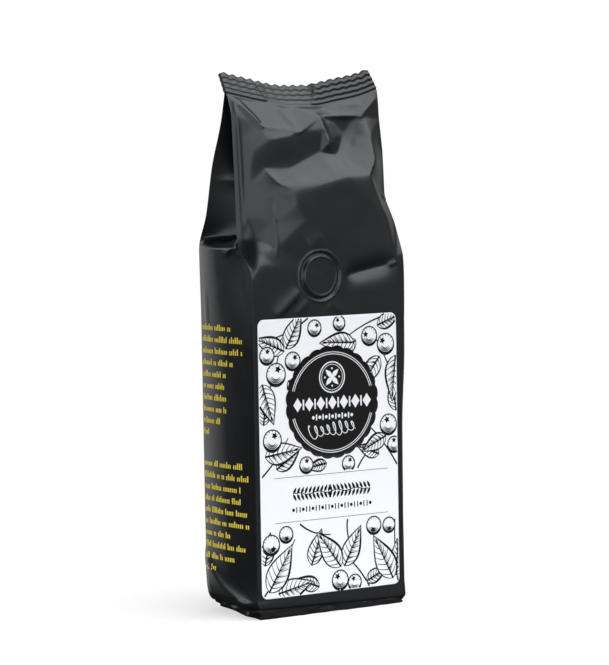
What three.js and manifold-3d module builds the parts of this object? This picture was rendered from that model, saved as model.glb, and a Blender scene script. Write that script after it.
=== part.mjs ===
// A shut coffee bag of black foil film: a filled box below, side folds tucked in above it, a crimped
// fin across the top, a valve ring pressed through the front film, and a paper label on the front.
// Millimetres, +Z up. The origin is on the floor under the middle of the bag, the label faces -Y
// and the printed side faces -X.
import * as THREE from "three";
import { mergeVertices } from "three/addons/utils/BufferGeometryUtils.js";
import Module from "manifold-3d";

const { clamp, lerp, smoothstep } = THREE.MathUtils;

// Driving dimensions of the bag
const bagWidth = 82;
const boxDepth = 44;
const boxTop = 150;
const boxFront = -22.8;
const frontCrown = 0.4;
const shoulderBlend = 12;
const sagBlend = 53;
const finFoot = 233.3;
const finHeight = 10.4;
const finThickness = 1.4;
const finMiddle = -4;
const finFace = -4.75;
const finTaper = { left: -0.4, right: 3.6 };
const teeth = 17;
const toothDepth = 1;
const crimps = 4;
const crimpRelief = 0.25;
const gussetWidth = 47;
const gussetLip = [160.5, 165.5];
const sideCrown = 1.2;
const sideCrease = 1;
const sideBulgeHeights = [2, 30];
const sealHeights = [4.5, 2.4];
const sealInset = 2;

// Driving dimensions of the label and the valve
const labelWidth = 75.4;
const labelBottom = 9.2;
const labelTop = 132.4;
const labelCentre = -1.1;
const labelCorner = 3;
const labelGap = 0.35;
const labelThickness = 0.35;
const valveCentre = [-4.9, 150.4];
const valveRadius = 12;
const discRadius = 9.2;
const valveRise = 0.7;
const valveSink = 4;
const valveOverlap = 0.1;

// Mesh density
const panelColumns = 2 * teeth;
const sideColumns = 8;
const boxLevels = [8, 11, 15, 20, 26, 34, 52, 76, 100, 124, 134, 138, 142, 146];
const rowStep = 3.2;

// The front film above the box: at each width x, its depth as [height, depth] knots
const halfWidth = bagWidth / 2;
const halfDepth = boxDepth / 2;
const frontProfiles = [
  profile(-41, [150, -22], [161.8, -20.6], [165.2, -13.4], [168.6, -10.8], [223, -8.2], [231.6, -4.8]),
  profile(-36, [150, -22.4], [158, -21], [167, -14], [188, -12.2], [212, -11], [230.2, -4.8]),
  profile(-31, [150, -22.6], [162, -20], [190, -15.2], [206, -12.8], [219, -10.4], [229.6, -4.8]),
  profile(-22, [150, -22.8], [176, -20.8], [191.5, -21.2], [201.6, -11.2], [214.5, -12.8], [227.9, -4.8]),
  profile(-9, [150, -22.8], [172, -22.9], [191, -22], [199, -10.4], [214.1, -13.8], [226.2, -4.8]),
  profile(6, [150, -22.8], [168, -23], [193, -22], [203.5, -12.6], [208.9, -15],
    [221.2, -11.3], [225.9, -4.8]),
  profile(19, [150, -22.8], [170, -22.6], [195.4, -21.3], [202, -11.4], [211, -9.6],
    [221, -10.9], [228, -4.8]),
  profile(27, [150, -22.7], [172, -21], [189, -19.4], [197, -16.6], [221, -10.9], [229.3, -4.8]),
  profile(34, [150, -22.5], [165, -21.6], [176, -18.4], [186.6, -13.2], [200, -9.4],
    [225, -8], [231, -4.8]),
  profile(41, [150, -22.2], [158.5, -21.6], [172.8, -15.2], [183.6, -8.2], [219, -5.2], [233.3, -4.8]),
];

// The back film: depth of its edges and of its middle, as [height, depth] knots
const backEdge = curve([[0, 18.2], [130, 18.6], [150, 19.1], [162, 19.4], [178, 13.1], [200, 7.6],
  [221, -0.3], [233.3, -3.4]]);
const backMiddle = curve([[10, 21.5], [60, 23], [150, 23.8], [166, 22.8], [182, 18.5], [196, 14], [212, 9],
  [224, 4], [233.3, -3.3]]);

// The fin sags between its ends and leans back most where it sags most
const footHeight = curve([[-41, 231.6], [-22, 227.9], [-7, 226], [6, 225.9], [18, 227.8], [30, 229.9],
  [41, 233.3]]);
const finLean = curve([[-41, 0.4], [-21, 0.42], [-16, 0.52], [4, 0.52], [9, 0.3], [41, 0.2]]);

// Folds of the front film: from one [x, z] to another, above and below tell how far each side reaches
const frontFolds = [
  { from: [-36, 228], to: [-26, 217], rise: 0.9, above: 5, below: 4, round: 0.4 },
  { from: [-26, 217], to: [-8.4, 214.1], rise: 0.9, above: 5, below: 4, round: 0.4 },
  { from: [-8.4, 214.1], to: [4, 221.4], rise: 0.9, above: 6, below: 5, round: 0.4 },
  { from: [4, 221.4], to: [8.4, 207], rise: 1, above: 5, below: 4, round: 0.4 },
  { from: [9, 149.8], to: [36, 154.8], rise: -1.6, above: 9, below: 7, round: 0.6 },
  { from: [-29, 134], to: [-15.5, 144.5], rise: 0.9, above: 7, below: 4, round: 1.2 },
];

// Folds of a side film, by [y, z]: the lip over the box and the dent beside the front corner
const sideFolds = [
  { from: [-4, 159.8], to: [20, 161.6], rise: 0.7, above: 2, below: 5, round: 0.3 },
  { from: [-4, 153.5], to: [-13, 148.5], rise: -2.4, above: 8, below: 4, round: 0.5 },
];

// The tucked-in lower corners turn in below a crease that climbs to the back
const tuckHeights = { front: 4.5, back: 27 };
const tuckClimb = 1.8;
const tuckEase = 1.2;
const tuckDepth = 7;

// A smooth curve through its knots that doesn't overshoot between them
function curve(knots) {
  const slopes = knots.slice(1).map(([at, value], i) => (value - knots[i][1]) / (at - knots[i][0]));
  const tangents = knots.map((_, i) => {
    const before = slopes[Math.max(i - 1, 0)];
    const after = slopes[Math.min(i, slopes.length - 1)];
    return before * after > 0 ? (2 * before * after) / (before + after) : 0;
  });
  return (at) => {
    let i = 0;
    while (i < knots.length - 2 && at > knots[i + 1][0]) i += 1;
    const span = knots[i + 1][0] - knots[i][0];
    const t = clamp((at - knots[i][0]) / span, 0, 1);
    const ease = t * t * (3 - 2 * t);
    const lift = span * t * (1 - t) * ((1 - t) * tangents[i] - t * tangents[i + 1]);
    return lerp(knots[i][1], knots[i + 1][1], ease) + lift;
  };
}

function profile(x, ...knots) {
  return { x, depth: curve(knots) };
}

// How far the folds push the film out at a place on it
function foldRise(folds, across, up) {
  let total = 0;
  for (const { from, to, rise, above, below, round } of folds) {
    const run = [to[0] - from[0], to[1] - from[1]];
    const length = Math.hypot(...run);
    const away = [across - from[0], up - from[1]];
    const along = clamp((away[0] * run[0] + away[1] * run[1]) / length ** 2, 0, 1);
    away[0] -= along * run[0];
    away[1] -= along * run[1];
    const distance = Math.hypot(...away);
    const turn = distance > 0 ? (away[1] * run[0] - away[0] * run[1]) / (distance * length) : 0;
    const reach = lerp(below, above, (turn + 1) / 2);
    const near = Math.max(0, 1 - (Math.hypot(distance, round) - round) / reach);
    total += rise * near * near;
  }
  return total;
}

// The height of a level: levels are flat low down and follow the sagging fin near the top
function heightAt(x, level) {
  return level - (finFoot - footHeight(x)) * smoothstep(level, finFoot - sagBlend, finFoot);
}

// Half the width of the bag at depth y and height z, less where the lower corners are tucked in
function sideReach(y, z) {
  const past = clamp((y + halfDepth) / boxDepth, 0, 1);
  const crease = lerp(tuckHeights.front, tuckHeights.back, past ** tuckClimb);
  const share = clamp((crease - z) / crease, 0, 1);
  return halfWidth - past * (tuckEase * share + tuckDepth * share ** 3);
}

// Almost flat in the box, and above it a film through the profiles with its folds
function frontDepth(x, z, level) {
  const flat = boxFront + frontCrown * (x / halfWidth) ** 6;
  const loose = smoothstep(level, boxTop - shoulderBlend, boxTop);
  const creased = curve(frontProfiles.map(({ x: at, depth }) => [at, depth(z)]))(x);
  const film = lerp(flat, creased, loose) - loose * foldRise(frontFolds, x, z);
  return lerp(film, finFace, smoothstep(level, finFoot - finThickness, finFoot));
}

function backDepth(x, level) {
  const edge = backEdge(level);
  return edge + (backMiddle(level) - edge) * (1 - (x / halfWidth) ** 4);
}

// The corners of the film at a level
function corner(side, isFront, level, inset) {
  const x = side * halfWidth;
  const z = heightAt(x, level);
  const depth = isFront ? frontDepth(x, z, level) : backDepth(x, level);
  const reach = sideReach(depth, z) - inset;
  return new THREE.Vector3(side * reach, depth - Math.sign(depth) * inset, z);
}

// A point of a side film, v runs from the front corner to the back one
function sidePoint(front, back, side, v, level, inset) {
  const point = new THREE.Vector3().lerpVectors(front, back, v);
  const gap = back.y - front.y;
  const tucked = smoothstep(level, ...gussetLip);
  const tent = 1 - Math.abs(2 * v - 1);
  const inward = Math.sqrt(Math.max(0, (gussetWidth ** 2 - gap ** 2) / 4)) * tent * tucked;
  const bulge = sideCrown * (1 - (2 * v - 1) ** 2) + sideCrease * tent;
  const low = smoothstep(point.z, ...sideBulgeHeights);
  const out = (1 - tucked) * (bulge * low + foldRise(sideFolds, point.y, point.z) * tent);
  const limit = sideReach(point.y, point.z) + out - inset;
  const straight = Math.abs(point.x) + out - inward;
  point.x = side * (level < boxTop ? Math.min(straight, limit) : straight);
  point.z = heightAt(point.x, level);
  return point;
}

// One ring of film: the front from left to right, the right side, the back and the left side
function filmRing(level, inset = 0) {
  const corners = {};
  for (const side of [-1, 1]) {
    corners[side] = [true, false].map((isFront) => corner(side, isFront, level, inset));
  }
  const ring = [];
  for (let i = 0; i <= panelColumns; i += 1) {
    const x = lerp(corners[-1][0].x, corners[1][0].x, i / panelColumns);
    const z = heightAt(x, level);
    ring.push(new THREE.Vector3(x, frontDepth(x, z, level) + inset, z));
  }
  for (let k = 1; k < sideColumns; k += 1) {
    ring.push(sidePoint(...corners[1], 1, k / sideColumns, level, inset));
  }
  for (let i = panelColumns; i >= 0; i -= 1) {
    const x = lerp(corners[-1][1].x, corners[1][1].x, i / panelColumns);
    ring.push(new THREE.Vector3(x, backDepth(x, level) - inset, heightAt(x, level)));
  }
  for (let k = sideColumns - 1; k > 0; k -= 1) {
    ring.push(sidePoint(...corners[-1], -1, k / sideColumns, level, inset));
  }
  return ring;
}

// A ring of film whose points are then set to heights that vary with x
function raisedRing(level, inset, heightOf) {
  const ring = filmRing(level, inset);
  for (const point of ring) {
    point.z = heightOf(point.x);
  }
  return ring;
}

// One ring of the fin, at a share of its height, with the teeth on its last ring
function finRing(share, crimp) {
  const ring = [];
  const left = finTaper.left * share - halfWidth;
  const right = halfWidth - finTaper.right * share;
  const place = (x, side, tooth) => {
    const lean = finLean(x);
    const reach = share * (finHeight - tooth);
    const offset = side * (finThickness / 2) + crimp;
    const y = finMiddle + reach * Math.sin(lean) + offset * Math.cos(lean);
    const z = footHeight(x) + reach * Math.cos(lean) - offset * Math.sin(lean);
    return new THREE.Vector3(x, y, z);
  };
  const tooth = (i) => (share === 1 && i % 2 === 0 ? toothDepth : 0);
  const bulge = (v) => finThickness * v * (1 - v);
  for (let i = 0; i <= panelColumns; i += 1) {
    ring.push(place(lerp(left, right, i / panelColumns), -1, tooth(i)));
  }
  for (let k = 1; k < sideColumns; k += 1) {
    const v = k / sideColumns;
    ring.push(place(right + bulge(v), 2 * v - 1, tooth(0)));
  }
  for (let i = panelColumns; i >= 0; i -= 1) {
    ring.push(place(lerp(left, right, i / panelColumns), 1, tooth(i)));
  }
  for (let k = sideColumns - 1; k > 0; k -= 1) {
    const v = k / sideColumns;
    ring.push(place(left - bulge(v), 2 * v - 1, tooth(0)));
  }
  return ring;
}

// A closed body from rings of equal length, capped between its front and its back half
function loft(rings) {
  const count = rings[0].length;
  const positions = rings.flat().flatMap((point) => point.toArray());
  const indices = [];
  const quad = (a, b, c, d) => {
    if (a !== d) indices.push(a, b, d);
    if (b !== c) indices.push(b, c, d);
  };
  for (let row = 0; row < rings.length - 1; row += 1) {
    for (let i = 0; i < count; i += 1) {
      const next = (i + 1) % count;
      const [here, above] = [row * count, (row + 1) * count];
      quad(here + i, here + next, above + next, above + i);
    }
  }
  const leftCrease = count - sideColumns / 2;
  const top = (rings.length - 1) * count;
  for (let step = 0; step < count / 2; step += 1) {
    const front = [step, step + 1].map((by) => (leftCrease + by) % count);
    const back = [step, step + 1].map((by) => (leftCrease - by + count) % count);
    quad(top + front[0], top + front[1], top + back[1], top + back[0]);
    quad(back[0], back[1], front[1], front[0]);
  }
  const geometry = new THREE.BufferGeometry();
  geometry.setAttribute("position", new THREE.Float32BufferAttribute(positions, 3));
  geometry.setIndex(indices);
  return geometry;
}

// The rings of the folded seal under the box and of the rounded edge above it
function sealRings() {
  const sealHeight = (x) => lerp(...sealHeights, x / bagWidth + 0.5);
  const under = 0.3;
  const edgeLevel = 4;
  const edgeRise = 1.2;
  return [
    raisedRing(0, sealInset, () => 0),
    raisedRing(0, sealInset, (x) => sealHeight(x) - under),
    raisedRing(edgeLevel, sealInset / 2, (x) => sealHeight(x) + under),
    raisedRing(edgeLevel, under, (x) => sealHeight(x) + edgeRise),
  ];
}

// The rings of the whole bag: seal, box, shoulders, fin
function bagRings() {
  const rings = sealRings();
  for (const level of boxLevels) {
    rings.push(filmRing(level));
  }
  for (let level = boxTop; level < finFoot - 1; level += rowStep) {
    rings.push(filmRing(level));
  }
  const finRows = 2 * crimps;
  for (let row = 0; row <= finRows; row += 1) {
    rings.push(finRing(row / finRows, row % 2 ? -crimpRelief : 0));
  }
  return rings;
}

// The valve's ring: a round lip round a disc, sunk into the film behind it
function valveGeometry() {
  const lipMiddle = (valveRadius + discRadius) / 2;
  const lipHalf = (valveRadius - discRadius) / 2;
  const profile = [new THREE.Vector2(0, -valveSink), new THREE.Vector2(valveRadius, -valveSink)];
  const arcSteps = 6;
  for (let step = 0; step <= arcSteps; step += 1) {
    const angle = (Math.PI * step) / arcSteps;
    profile.push(new THREE.Vector2(lipMiddle + lipHalf * Math.cos(angle), valveRise * Math.sin(angle)));
  }
  profile.push(new THREE.Vector2(0, 0));
  const geometry = new THREE.LatheGeometry(profile, 48);
  geometry.rotateX(Math.PI);
  const [x, z] = valveCentre;
  geometry.translate(x, frontDepth(x, z, z) - valveOverlap, z);
  return geometry;
}

// The label follows the film, and each of its columns is shortened by the round corners
function labelGeometry() {
  const columns = 16;
  const rows = 14;
  const layers = [labelGap, labelGap + labelThickness];
  const half = labelWidth / 2;
  const positions = [];
  for (const layer of layers) {
    for (let i = 0; i <= columns; i += 1) {
      const across = half * Math.sin((Math.PI / 2) * ((2 * i) / columns - 1));
      const past = Math.max(0, Math.abs(across) - (half - labelCorner));
      const trim = labelCorner - Math.sqrt(labelCorner ** 2 - Math.min(past, labelCorner) ** 2);
      for (let j = 0; j <= rows; j += 1) {
        const z = lerp(labelBottom + trim, labelTop - trim, j / rows);
        const x = labelCentre + across;
        positions.push(x, frontDepth(x, z, z) - layer, z);
      }
    }
  }
  const at = (layer, i, j) => (layer * (columns + 1) + i) * (rows + 1) + j;
  const indices = [];
  const quad = (a, b, c, d) => indices.push(a, b, c, a, c, d);
  for (let i = 0; i < columns; i += 1) {
    for (let j = 0; j < rows; j += 1) {
      quad(at(0, i, j), at(0, i, j + 1), at(0, i + 1, j + 1), at(0, i + 1, j));
      quad(at(1, i, j), at(1, i + 1, j), at(1, i + 1, j + 1), at(1, i, j + 1));
    }
    quad(at(0, i, 0), at(0, i + 1, 0), at(1, i + 1, 0), at(1, i, 0));
    quad(at(1, i, rows), at(1, i + 1, rows), at(0, i + 1, rows), at(0, i, rows));
  }
  for (let j = 0; j < rows; j += 1) {
    quad(at(1, 0, j), at(1, 0, j + 1), at(0, 0, j + 1), at(0, 0, j));
    quad(at(0, columns, j), at(0, columns, j + 1), at(1, columns, j + 1), at(1, columns, j));
  }
  const geometry = new THREE.BufferGeometry();
  geometry.setAttribute("position", new THREE.Float32BufferAttribute(positions, 3));
  geometry.setIndex(indices);
  return geometry;
}

const wasm = await Module();
wasm.setup();

function toManifold(geometry) {
  const bare = geometry.clone();
  bare.deleteAttribute("normal");
  bare.deleteAttribute("uv");
  const merged = mergeVertices(bare, 1e-4);
  const mesh = new wasm.Mesh({
    numProp: 3,
    vertProperties: new Float32Array(merged.attributes.position.array),
    triVerts: new Uint32Array(merged.index.array),
  });
  return new wasm.Manifold(mesh);
}

function toGeometry(manifold) {
  const mesh = manifold.getMesh();
  const geometry = new THREE.BufferGeometry();
  geometry.setAttribute("position", new THREE.Float32BufferAttribute(mesh.vertProperties, 3));
  geometry.setIndex(Array.from(mesh.triVerts));
  geometry.computeVertexNormals();
  return geometry;
}

function addMesh(parent, name, geometry, material) {
  const mesh = new THREE.Mesh(geometry, material);
  mesh.name = name;
  parent.add(mesh);
}

const film = new THREE.MeshStandardMaterial({ color: 0x2b2f32, roughness: 0.4, metalness: 0.1 });
const paper = new THREE.MeshStandardMaterial({ color: 0xeceef2, roughness: 0.5, metalness: 0 });

const group = new THREE.Group();
addMesh(group, "bag", toGeometry(toManifold(loft(bagRings())).add(toManifold(valveGeometry()))), film);
addMesh(group, "front_label", toGeometry(toManifold(labelGeometry())), paper);

export default group;
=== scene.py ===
from functools import partial
import bpy
import numpy as np
from mathutils import Matrix, Vector
from mathutils.geometry import delaunay_2d_cdt


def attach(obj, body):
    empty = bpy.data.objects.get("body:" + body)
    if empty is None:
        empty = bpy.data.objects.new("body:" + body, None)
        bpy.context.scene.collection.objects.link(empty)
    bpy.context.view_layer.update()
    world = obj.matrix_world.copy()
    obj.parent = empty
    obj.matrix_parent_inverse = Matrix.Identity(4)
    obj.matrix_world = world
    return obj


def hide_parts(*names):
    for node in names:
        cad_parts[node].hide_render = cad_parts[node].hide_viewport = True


# A shut coffee bag of satin black film with a paper label, worked out as numpy surfaces in millimetres
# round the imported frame. Front -Y, printed side -X, +Z up, floor at 0.

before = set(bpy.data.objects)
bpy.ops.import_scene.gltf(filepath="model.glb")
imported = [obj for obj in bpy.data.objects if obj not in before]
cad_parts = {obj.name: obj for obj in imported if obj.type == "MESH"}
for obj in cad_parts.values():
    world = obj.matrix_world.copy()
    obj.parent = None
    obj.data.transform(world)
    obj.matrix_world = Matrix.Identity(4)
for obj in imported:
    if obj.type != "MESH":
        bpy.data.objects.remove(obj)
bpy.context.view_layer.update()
mm = 0.001

# where the photograph was taken from: turn and tilt in degrees, lengths in metres
cameraLook = dict(turn=35.0, tilt=3.8, roll=-0.92, distance=1.356, aim=(0, 0, 0.120), shift=(0.0018, 0.0040),
                  focal=3010.0, longSide=665.0)


def makeCamera():
    # looks along its turn and tilt from its distance to the aim, rolled round that line, then shifted
    turn, tilt, roll = (np.radians(cameraLook[key]) for key in ("turn", "tilt", "roll"))
    ahead = np.array([np.sin(turn) * np.cos(tilt), np.cos(turn) * np.cos(tilt), -np.sin(tilt)])
    level = np.array([np.cos(turn), -np.sin(turn), 0.0])
    upright = np.cross(level, ahead)
    right = level * np.cos(roll) + upright * np.sin(roll)
    up = upright * np.cos(roll) - level * np.sin(roll)
    place = np.array(cameraLook["aim"]) - ahead * cameraLook["distance"]
    place = place + right * cameraLook["shift"][0] + up * cameraLook["shift"][1]
    camera = bpy.data.objects.new("camera", bpy.data.cameras.new("camera"))
    camera.data.sensor_width = 36.0
    camera.data.lens = cameraLook["focal"] * 36.0 / cameraLook["longSide"]
    camera.data.clip_start, camera.data.clip_end = 0.05, 20.0
    camera.matrix_world = Matrix([[right[i], up[i], -ahead[i], place[i]] for i in range(3)] + [[0, 0, 0, 1]])
    bpy.context.scene.collection.objects.link(camera)
    bpy.context.scene.camera = camera


makeCamera()
print("camera made")

# the bag's sizes in millimetres; the box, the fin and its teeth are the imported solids' own
bag = dict(
    width=82, depth=44, boxTop=150, front=-22.8,
    rightRound=1.5, lowerSwell=(1.1, 10, 5.5),  # how far the right edge and the lower edge of the front turn
    finFoot=233.3, finHeight=10.4, finThickness=1.4, finMiddle=-4, finFace=-4.75, finTaper=(-0.4, 3.6),
    teeth=17, toothDepth=1.0, crimps=4, crimpRelief=0.17,
    finSteps=((-19.6, -5), (4, 4)), finStep=0.45,  # where the fin grows thinner and thicker, and by how much
    gussetWidth=36, gussetLip=(163.2, 168.6),  # film in a side fold, and the levels over which it sinks in
    sideCrown=1.9, sideCrease=0.35, crownShift=(9, 120, 160),  # bulge, and how it moves back near the top
    tuckRise=(3.4, 12, 14), tuckLean=0.5,  # start, slant and climb of the tuck's crease, lean below it
    tuckRoll=(2.1, 6), bandHeights=(4.5, 2.4))  # swell above the crease, folded seal left and right
halfWidth, halfDepth = bag["width"] / 2, bag["depth"] / 2


def lerp(a, b, t):
    # the share t of the way from a to b
    return a + (b - a) * t


def smoothStep(x, low, high):
    # eases from 0 at low to 1 at high by 3 t squared - 2 t cubed
    t = np.clip((x - low) / (high - low), 0, 1)
    return t * t * (3 - 2 * t)


def curve(*knots):
    # cubic pieces through the knots, flat where the slope turns, so nothing overshoots
    at, value = np.array(knots, float).T
    slope = np.diff(value) / np.diff(at)
    before, after = np.r_[slope[0], slope], np.r_[slope, slope[-1]]
    product = before * after
    tangent = np.where(product > 0, 2 * product / np.where(product > 0, before + after, 1), 0)

    def evaluate(x):
        x = np.asarray(x, float)
        i = np.clip(np.searchsorted(at, x, side="right") - 1, 0, len(at) - 2)
        span = at[i + 1] - at[i]
        t = np.clip((x - at[i]) / span, 0, 1)
        ease = t * t * (3 - 2 * t)
        return lerp(value[i], value[i + 1], ease) + span * t * (1 - t) * (
            (1 - t) * tangent[i] - t * tangent[i + 1])
    return evaluate


top, foot = bag["boxTop"], bag["finFoot"]
# by level: depth of the back's edges and middle, and how far the right side spreads
backLeft = curve((0, 18.2), (130, 18.6), (top, 19.1), (162, 19.4), (178, 13.1), (200, 7.6), (221, -0.3),
                 (foot, -3.4))
backMiddle = curve((10, 21.5), (60, 23), (top, 23.4), (166, 22.8), (182, 18.5), (196, 14), (212, 9),
                   (224, 4), (foot, -3.3))
rightSpread = curve((5, -0.2), (40, -0.7), (80, -0.5), (115, 1.2), (155, 1.6), (171, 1.1), (184, 0.3),
                    (200, 0))
# by height: how far the rear lower corner is drawn in
tuckInset = curve((0, 10), (1.5, 6), (3.2, 3.4), (5, 1.7), (8.3, 0.7), (13, 0.2), (24, 0), (40, 0))
# by place across: height of the fin's foot and the fin's lean
footHeight = curve((-41, 231.6), (-22, 227.9), (-7, 226), (6, 225.9), (18, 227.8), (30, 229.9), (41, 233.3))
finLean = curve((-41, 0.43), (-21, 0.45), (-16, 0.49), (4, 0.45), (9, 0.27), (41, 0.15))

# creases of the front film above the box, each a chain of x, height and depth; between them it is taut
frontCreases = dict(
    leftEdge=[(-41, 231.6, -4.8), (-41, 223, -8.2), (-41, 186, -10.2), (-41, 168.6, -10.6),
              (-41, 164, -12), (-41, 160, -14.5), (-41, 156.5, -18), (-41, 153.5, -21.4),
              (-41, 150, -22.7), (-41, 110, -22.8)],
    finFoot=[(-41, 231.6, -4.8), (-22, 227.9, -4.8), (-7, 226, -4.8), (6, 225.9, -4.8), (18, 227.8, -4.8),
             (30, 229.9, -4.8), (41, 233.3, -4.8)],
    rightEdge=[(41, 233.3, -4.8), (41, 219, -6.2), (41, 205.4, -8.2), (41, 191.7, -8.8), (41, 183.6, -9),
               (41, 172.8, -15.2), (41, 158.5, -20.9), (41, 150, -21.4), (41, 110, -21.4)],
    above=[(-41, 231.6, -4.8), (-41, 245, -4.8), (41, 245, -4.8), (41, 233.3, -4.8)],
    leftValley=[(-37.4, 212, -10.1), (-37.4, 190, -11.0), (-37.7, 174, -11.2), (-38.6, 166.5, -12.4)],
    shelfEdge=[(-38.9, 229, -6.8), (-27, 217.1, -11.4), (-17, 213.9, -13.2), (-8.4, 214.1, -13.8),
               (3.9, 221.2, -11.4), (17.6, 220.9, -10.6), (27.7, 221, -9.8), (35.3, 225.6, -7.8),
               (41, 231, -5.3)],
    bowlTop=[(-32.5, 206, -12.8), (-24.7, 211, -13.8), (-17, 212.6, -14.5), (-9.5, 214, -14.4)],
    bowlFloor=[(-20.6, 193.4, -15.4), (-13.5, 197.6, -13.8), (-4.6, 201.5, -12.8), (3.1, 205, -12.8),
               (6.6, 208.4, -15.8)],
    spur=[(3.9, 221.2, -11.4), (6.1, 214.9, -13.2), (6.6, 208.4, -14)],
    rightBowl=[(3.9, 221.2, -11.4), (23.2, 219.4, -8.5), (24.4, 212.7, -10.2), (23.3, 205.9, -12.9),
               (17.4, 201.4, -14.2), (12.1, 203.6, -13.1), (6.6, 208.4, -14)],
    rightFloor=[(12.5, 219.4, -9.2), (18.6, 213.4, -8.9), (20.6, 207.6, -10.6)],
    rightCrest=[(27.7, 221, -9.8), (31.5, 210.7, -13), (31, 200.9, -17.2), (26, 195, -20)],
    lowerLeft=[(-32.5, 206, -12.8), (-27, 198.5, -13.2), (-20.6, 193.4, -15.4), (-21.3, 191.4, -19.4)],
    brow=[(-21.3, 191.4, -19.4), (-13.6, 191, -21.6), (-2, 191.8, -22.2), (6.6, 193.5, -21.9),
          (12.9, 194.7, -21.5), (26, 195, -20), (33, 187.5, -14.6), (41, 183.6, -9)],
    leftRidge=[(-32.5, 206, -12.8), (-34.8, 199.2, -12.8), (-36.3, 190, -12.8), (-36.2, 178, -13.5),
               (-35.8, 168, -17.2), (-36.4, 162, -20.6), (-38, 157, -22.3), (-39.6, 153.4, -22.6)],
    leftCrease=[(-27, 198.5, -13.2), (-26.6, 187, -16.5), (-26.6, 175, -19.1), (-26.6, 163.5, -21.5),
                (-27, 155, -22.6)],
    faceEdge=[(-21.3, 191.4, -19.4), (-19.2, 187.4, -21), (-16.2, 182.5, -22), (-10.9, 175.8, -22.6),
              (-3.9, 171.3, -22.9), (-0.8, 168.5, -23)],
    rightFace=[(26, 195, -20), (33, 176, -21.4), (36, 157, -22.6)],
    box=[(-41, 150, -22.7), (-39.6, 153.4, -22.6), (-27, 155, -22.6), (-0.8, 150, -22.9),
         (36, 157, -22.6), (38.5, 150, -22.4), (41, 150, -21.4)],
    low=[(-41, 110, -22.8), (38.5, 110, -22.5), (41, 110, -21.4)],
)
# the grid that the creases are read into, kept just inside their outline, and how far they are rounded
creaseGrid = dict(step=0.4, fromX=-44, fromZ=112, columns=221, rows=331, inside=(40.999, 110.001, 244.999),
                  sharp=0.6, soft=2.6, softShare=0.5)

# small folds of the film: x0, z0, x1, z1, rise, reach above, reach below, roundness
frontFolds = dict(
    leftPleat=(-38.7, 230, -38.1, 168, 1.1, 2.4, 2.0, 0.12),
    shelfLeft=(-38.8, 229.4, -26, 216, 0.8, 3.0, 2.4, 0.15),
    shelfTwin=(-36.2, 228.5, -27.2, 218.2, 0.6, 1.6, 1.6, 0.12),
    shelfMiddle=(-29, 217.4, -6, 213.6, 0.45, 2, 2.4, 0.12),
    shelfSpur=(-10, 213, 4.9, 221.8, 0.45, 2, 2.4, 0.12),
    shelfRight=(2, 221.2, 30, 221, 0.45, 2, 2.4, 0.12),
    shelfEnd=(27, 220, 38.5, 229, 0.4, 2.5, 3.0, 0.2),
    spur=(3.6, 222.4, 7.4, 207.4, 0.7, 4, 4, 0.15),
    finPleatMiddle=(-14.5, 225.5, -8.0, 213.5, 0.7, 6, 3, 0.25),
    finPleatInner=(-17, 216.5, -9.4, 215, 0.4, 3, 2, 0.2),
    finPleatRight=(18, 225.4, 31, 226.5, 0.6, 2.5, 2.5, 0.25),
    faceCrease=(-26.4, 186, -26.8, 159, 0.5, 2.2, 3, 0.15),
    kinkGlint=(37.5, 185.2, 41, 182.6, 0.9, 2, 2.4, 0.2),
    valveRight=(8, 149.8, 37, 155.2, -2.4, 8, 10, 0.4),
    pimple=(32.5, 153.9, 36.5, 154.9, 0.9, 1.8, 1.8, 0.5),
    valveLeft=(-29, 133, -15.5, 144.5, 1.2, 7, 3, 1),
    valveLower=(-18, 134, -11, 140, 0.6, 4, 3, 0.6),
    valveUnder=(-1, 137.5, 8, 134, 0.4, 4, 3, 1),
    valveTop=(-10, 163.5, -3, 168.5, 0.5, 6, 5, 2.5),
)
# the same for the side panels, by y and height, the back and the side folds
sideFolds = dict(
    lipFront=(-10, 165, -3.5, 160, 0.4, 3, 2.5, 0.3),
    backLine=(12, 128, 13.5, 146, 0.3, 2, 2, 0.2),
    tuckEdge=(-20, 4.4, 3.9, 13.5, 0.2, 1, 1, 0.15),
    tuckCrease=(2.5, 12.8, 16.5, 24, 0.2, 1.2, 1.2, 0.15),
)
backFolds = dict(
    leftShoulder=(-36, 168, -18, 150, 0.9, 9, 7, 2),
    rightShoulder=(18, 152, 36, 170, 0.9, 9, 7, 2),
    upperLeft=(-34, 214, -14, 196, 0.7, 8, 6, 1.5),
    upperRight=(10, 198, 33, 217, 0.8, 7, 8, 1.5),
    dent=(-10, 176, 14, 181, -0.9, 9, 7, 4),
    finLeft=(-30, 227, -22, 206, 0.5, 5, 4, 0.6),
    finRight=(17, 207, 26, 226, 0.5, 4, 5, 0.6),
    lowLeft=(-38, 12, -22, 3, 0.6, 6, 5, 1),
    lowRight=(22, 3, 38, 13, 0.6, 6, 5, 1),
)
backSeam = dict(half=5, edge=0.5, rise=0.35, end=215)
gussetFolds = dict(
    upperCrease=(-2, 194, 12, 193, -1.2, 4, 7, 0.4),
)


def foldRise(folds, across, up):
    # each fold lifts by rise * (1 - distance / reach)^2 round its line, reach turning from below to above
    total = np.zeros(np.broadcast(across, up).shape)
    for x0, z0, x1, z1, rise, above, below, roundness in folds.values():
        runX, runZ = x1 - x0, z1 - z0
        length = np.hypot(runX, runZ)
        along = np.clip(((across - x0) * runX + (up - z0) * runZ) / length**2, 0, 1)
        awayX, awayZ = across - x0 - along * runX, up - z0 - along * runZ
        distance = np.hypot(awayX, awayZ)
        turn = (awayZ * runX - awayX * runZ) / np.maximum(distance * length, 1e-9)
        reach = lerp(below, above, (turn + 1) / 2)
        near = np.maximum(0, 1 - (np.hypot(distance, roundness) - roundness) / reach)
        total = total + rise * near**2 * (1 - (2 * along - 1)**4)
    return total


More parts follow.
